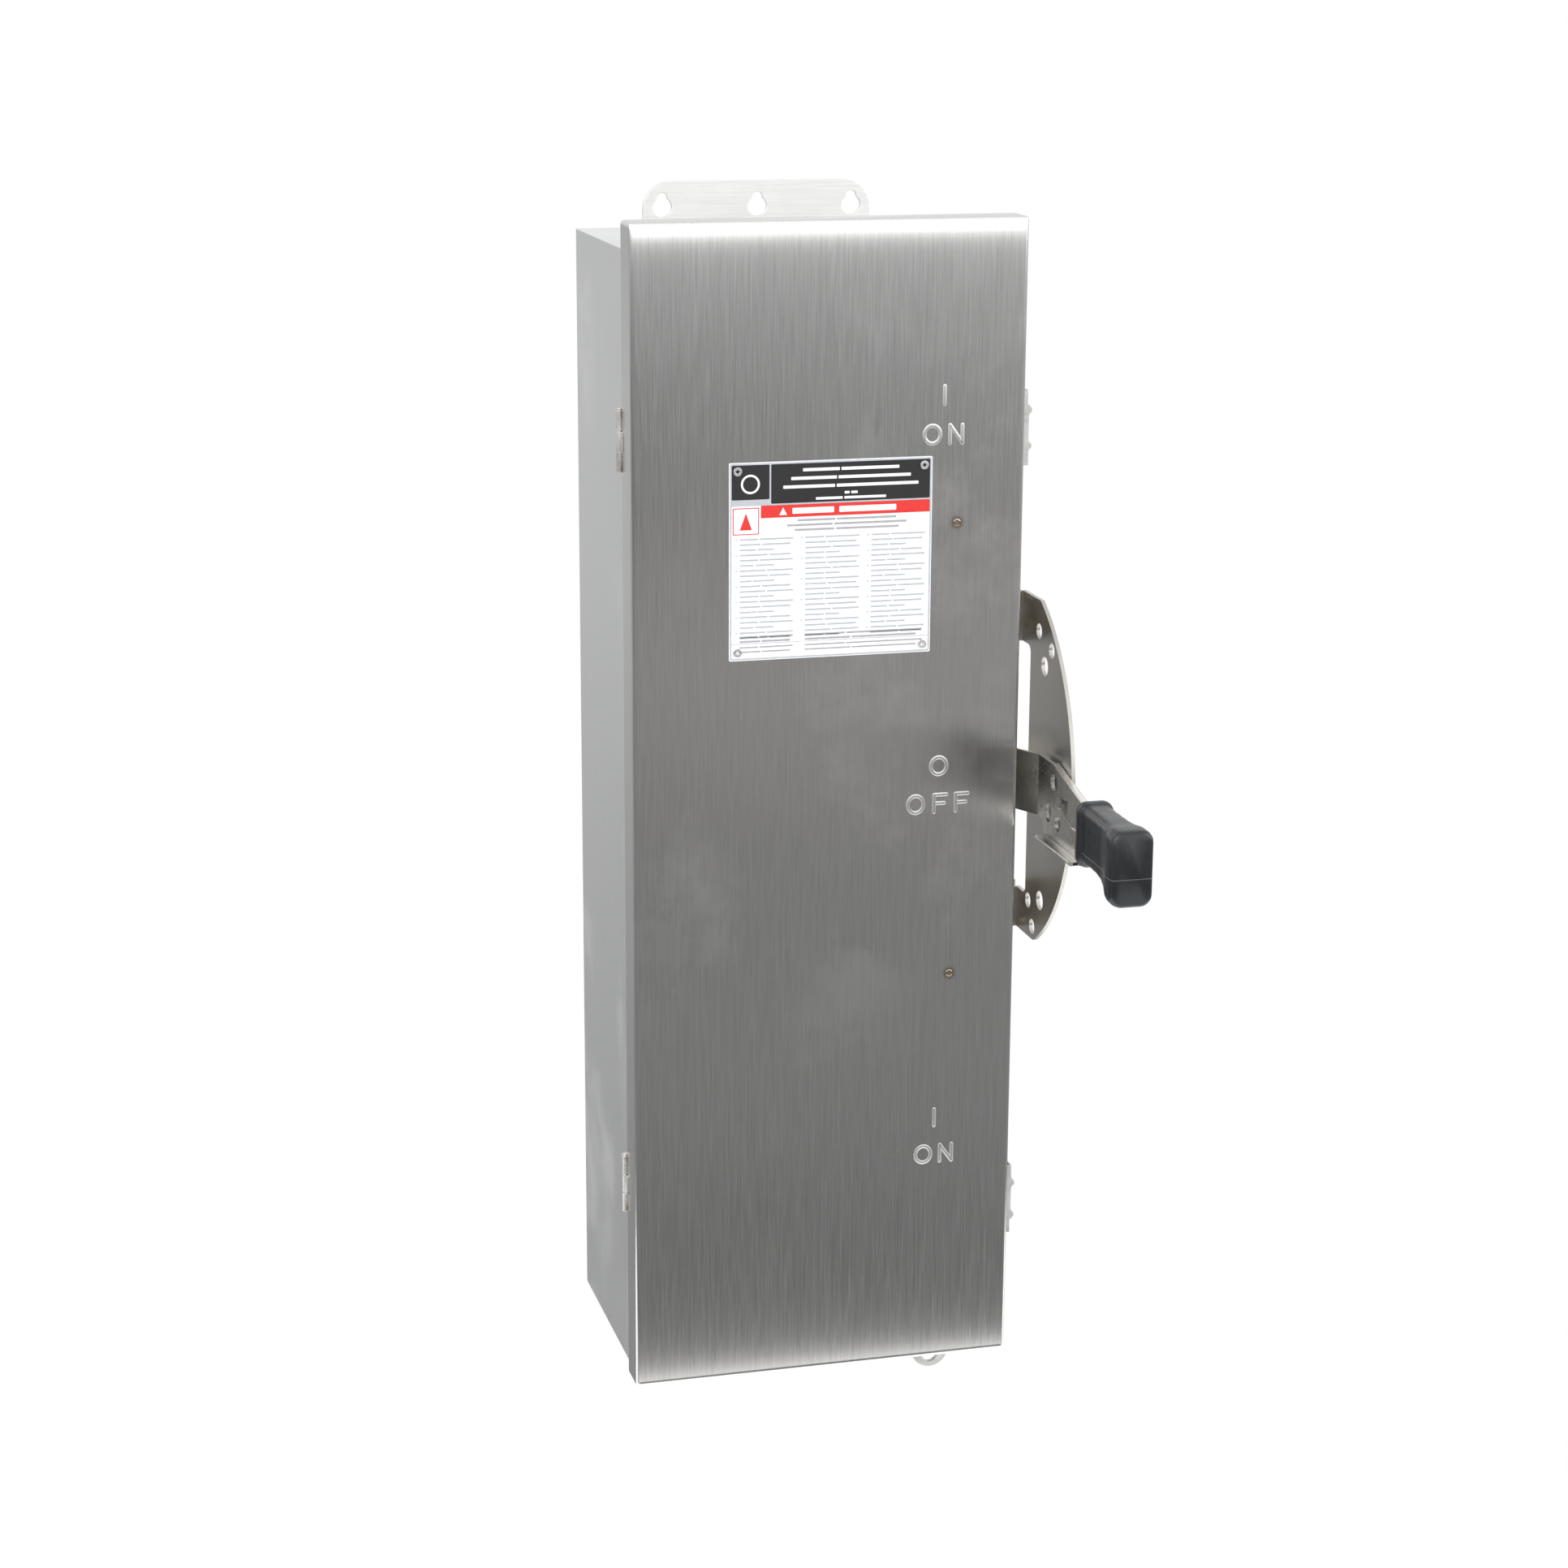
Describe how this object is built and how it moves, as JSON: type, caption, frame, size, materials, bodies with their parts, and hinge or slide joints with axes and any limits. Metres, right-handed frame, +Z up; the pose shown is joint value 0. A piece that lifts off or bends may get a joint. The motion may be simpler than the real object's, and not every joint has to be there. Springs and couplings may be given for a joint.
{
  "type": "fused double-throw disconnect switch",
  "caption": "Wall-mounted stainless enclosure with a hinged gasketed door, side latches, a side handle with a padlockable lock plate, and fused knife switches inside.",
  "frame": {"origin": "centre of the enclosure's back width on the wall plane, at half the door's height", "axes": "+X to the right seen from the front, +Y into the wall, +Z up"},
  "size_m": [0.3488, 0.391, 0.9431],
  "materials": {
    "brushed_stainless": "vertical brushed grain",
    "smooth_stainless": "smooth cold-rolled stainless",
    "dark_stainless": "smooth stainless, slightly stained by welding",
    "plated_steel": "zinc plated",
    "black_rubber": "moulded, dusty",
    "gasket_rubber": "soft closed-cell strip",
    "label_face": "printed plate",
    "copper_alloy": "plated copper",
    "tinned_aluminium": "tin plated",
    "moulded_black": "moulded thermoset",
    "grey_fibre": "vulcanised fibre",
    "fuse_body": "fibre tube with plated end caps"
  },
  "bodies": {
    "enclosure": {"enclosure_box": "brushed_stainless", "box_rim": "brushed_stainless", "upper_mounting_foot": "brushed_stainless", "lower_mounting_foot": "brushed_stainless", "mounting_panel": "plated_steel", "panel_bolts": "plated_steel", "hasp_ear": "smooth_stainless", "hinge_box_leaves": "smooth_stainless", "hinge_pins": "smooth_stainless", "latch_brackets": "smooth_stainless", "latch_pins": "smooth_stainless", "lock_plate": "dark_stainless", "lock_plate_brackets": "dark_stainless", "lock_plate_screws": "smooth_stainless", "shaft_bushing": "smooth_stainless", "bushing_nut": "plated_steel", "mechanism_bracket": "plated_steel", "detent_spring": "plated_steel", "upper_switch_base": "moulded_black", "lower_switch_base": "moulded_black", "load_base": "moulded_black", "base_screws": "plated_steel", "blade_jaws": "copper_alloy", "blade_posts": "copper_alloy", "load_busbars": "copper_alloy", "fuse_clips": "copper_alloy", "upper_fuses": "fuse_body", "lower_fuses": "fuse_body", "line_lugs": "tinned_aluminium", "load_lugs": "tinned_aluminium", "lug_screws": "plated_steel", "phase_barriers": "grey_fibre", "arc_suppressors": "grey_fibre", "rotor_bearings": "plated_steel", "ground_bar": "copper_alloy", "ground_screws": "plated_steel"},
    "door": {"door_panel": "brushed_stainless", "door_hasp_ear": "smooth_stainless", "door_gasket": "gasket_rubber", "hinge_door_leaves": "smooth_stainless", "label_plate": "label_face", "label_eyelets": "smooth_stainless", "door_interlock_catch": "plated_steel"},
    "handle": {"handle_arm": "dark_stainless", "handle_grip": "black_rubber", "operating_shaft": "plated_steel", "handle_nut": "smooth_stainless", "drive_crank": "plated_steel", "interlock_cam": "plated_steel", "detent_cam": "plated_steel"},
    "upper_link_bar": {"upper_link": "plated_steel"},
    "lower_link_bar": {"lower_link": "plated_steel"},
    "upper_rotor": {"upper_blades": "copper_alloy", "upper_crossbar": "moulded_black", "upper_rotor_arms": "plated_steel"},
    "lower_rotor": {"lower_blades": "copper_alloy", "lower_crossbar": "moulded_black", "lower_rotor_arms": "plated_steel"},
    "upper_latch": {"upper_latch_clip": "smooth_stainless"},
    "lower_latch": {"lower_latch_clip": "smooth_stainless"}
  },
  "joints": [
    {"name": "door_hinge", "type": "hinge", "parent": "enclosure", "child": "door", "pos_m": [-0.1479, -0.1756, 0], "axis": [0, 0, -1], "range_deg": [0, 115]},
    {"name": "handle_throw", "type": "hinge", "parent": "enclosure", "child": "handle", "pos_m": [0, -0.107, 0.0195], "axis": [-1, 0, 0], "range_deg": [-51, 54], "deforming": ["detent_spring"]},
    {"name": "upper_link_pivot", "type": "hinge", "parent": "handle", "child": "upper_link_bar", "pos_m": [0.0635, -0.135, 0.0195], "axis": [-1, 0, 0], "range_deg": [-54, 51]},
    {"name": "lower_link_pivot", "type": "hinge", "parent": "handle", "child": "lower_link_bar", "pos_m": [0.0585, -0.135, 0.0195], "axis": [-1, 0, 0], "range_deg": [-54, 51]},
    {"name": "upper_rotor_turn", "type": "hinge", "parent": "enclosure", "child": "upper_rotor", "pos_m": [0, -0.062, 0.1995], "axis": [-1, 0, 0], "range_deg": [-51, 54]},
    {"name": "lower_rotor_turn", "type": "hinge", "parent": "enclosure", "child": "lower_rotor", "pos_m": [0, -0.062, -0.1605], "axis": [-1, 0, 0], "range_deg": [-51, 54]},
    {"name": "upper_latch_swing", "type": "hinge", "parent": "enclosure", "child": "upper_latch", "pos_m": [0.1515, -0.15, 0.292], "axis": [0, 0, 1], "range_deg": [0, 75]},
    {"name": "lower_latch_swing", "type": "hinge", "parent": "enclosure", "child": "lower_latch", "pos_m": [0.1515, -0.15, -0.3245], "axis": [0, 0, 1], "range_deg": [0, 75]}
  ],
  "couplings": [
    {"joint": "upper_link_pivot", "follows": "handle_throw", "ratio": -1},
    {"joint": "lower_link_pivot", "follows": "handle_throw", "ratio": -1},
    {"joint": "upper_rotor_turn", "follows": "handle_throw", "ratio": 1},
    {"joint": "lower_rotor_turn", "follows": "handle_throw", "ratio": 1}
  ]
}
